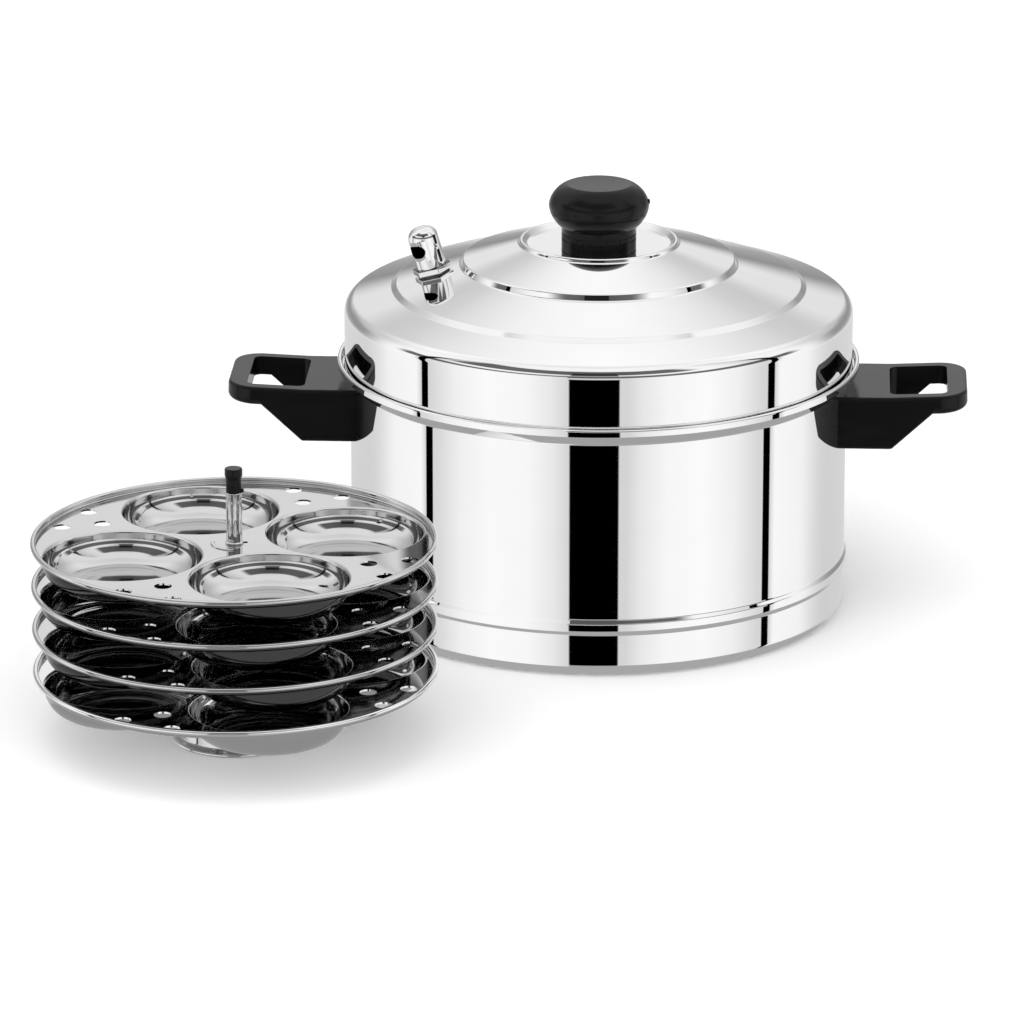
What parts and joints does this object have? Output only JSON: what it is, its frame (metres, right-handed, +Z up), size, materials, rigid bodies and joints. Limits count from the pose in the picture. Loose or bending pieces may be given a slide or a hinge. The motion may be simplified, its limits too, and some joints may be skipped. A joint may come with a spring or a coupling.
{
  "type": "idli steamer",
  "caption": "Round steel steamer pot with a domed lid, side handles, and a separate lift-out stand of stacked cupped plates on a central rod.",
  "frame": {"origin": "centre of the pot's base, on the surface that the pot and the stand rest on", "axes": "+Z up along the pot's axis, +X and -X through the two side handles; the stand stands beside the pot at -X -Y"},
  "size_m": [0.4298, 0.4293, 0.2095],
  "materials": {
    "polished_steel": "mirror polished stainless steel",
    "plate_steel": "bright pressed stainless steel",
    "stand_chrome": "bright chrome plating",
    "fastener_steel": "plain steel",
    "black_phenolic": "satin moulded phenolic",
    "brass_insert": "turned brass",
    "gasket_rubber": "silicone rubber"
  },
  "bodies": {
    "pot": {"pot_shell": "polished_steel", "handle_left": "black_phenolic", "handle_right": "black_phenolic", "bracket_left": "fastener_steel", "bracket_right": "fastener_steel", "handle_screws": "fastener_steel"},
    "lid": {"lid_shell": "polished_steel", "lid_knob": "black_phenolic", "knob_insert": "brass_insert", "knob_washer": "fastener_steel", "knob_screw": "fastener_steel", "vent_body": "stand_chrome", "vent_gasket": "gasket_rubber", "vent_nut": "fastener_steel"},
    "stand": {"stand_foot": "plate_steel", "stand_rod": "stand_chrome", "foot_washer": "fastener_steel", "foot_nut": "fastener_steel"},
    "tier_4": {"spacer_4": "stand_chrome"},
    "tray_4": {"plate_4": "plate_steel"},
    "tier_3": {"spacer_3": "stand_chrome"},
    "tray_3": {"plate_3": "plate_steel"},
    "tier_2": {"spacer_2": "stand_chrome"},
    "tray_2": {"plate_2": "plate_steel"},
    "tier_1": {"spacer_1": "stand_chrome"},
    "tray_1": {"plate_1": "plate_steel"},
    "lift_handle": {"lift_tube": "stand_chrome", "lift_insert": "brass_insert", "lift_cap": "black_phenolic"}
  },
  "joints": [
    {"name": "lid_lift", "type": "slide", "parent": "pot", "child": "lid", "axis": [0, 0, 1], "range_m": [0, 0.15]},
    {"name": "stand_lift", "type": "slide", "parent": "pot", "child": "stand", "axis": [0, 0, 1], "range_m": [0, 0.2]},
    {"name": "tier_4_lift", "type": "slide", "parent": "stand", "child": "tier_4", "axis": [0, 0, 1], "range_m": [0, 0.1]},
    {"name": "plate_4_turn", "type": "hinge", "parent": "tier_4", "child": "tray_4", "pos_m": [-0.1584, -0.2101, 0.0325], "axis": [0, 0, 1], "continuous": true},
    {"name": "tier_3_lift", "type": "slide", "parent": "tier_4", "child": "tier_3", "axis": [0, 0, 1], "range_m": [0, 0.08]},
    {"name": "plate_3_turn", "type": "hinge", "parent": "tier_3", "child": "tray_3", "pos_m": [-0.1584, -0.2101, 0.0529], "axis": [0, 0, 1], "continuous": true},
    {"name": "tier_2_lift", "type": "slide", "parent": "tier_3", "child": "tier_2", "axis": [0, 0, 1], "range_m": [0, 0.06]},
    {"name": "plate_2_turn", "type": "hinge", "parent": "tier_2", "child": "tray_2", "pos_m": [-0.1584, -0.2101, 0.0733], "axis": [0, 0, 1], "continuous": true},
    {"name": "tier_1_lift", "type": "slide", "parent": "tier_2", "child": "tier_1", "axis": [0, 0, 1], "range_m": [0, 0.04]},
    {"name": "plate_1_turn", "type": "hinge", "parent": "tier_1", "child": "tray_1", "pos_m": [-0.1584, -0.2101, 0.0937], "axis": [0, 0, 1], "continuous": true},
    {"name": "handle_off", "type": "slide", "parent": "tier_1", "child": "lift_handle", "axis": [0, 0, 1], "range_m": [0, 0.03]}
  ]
}
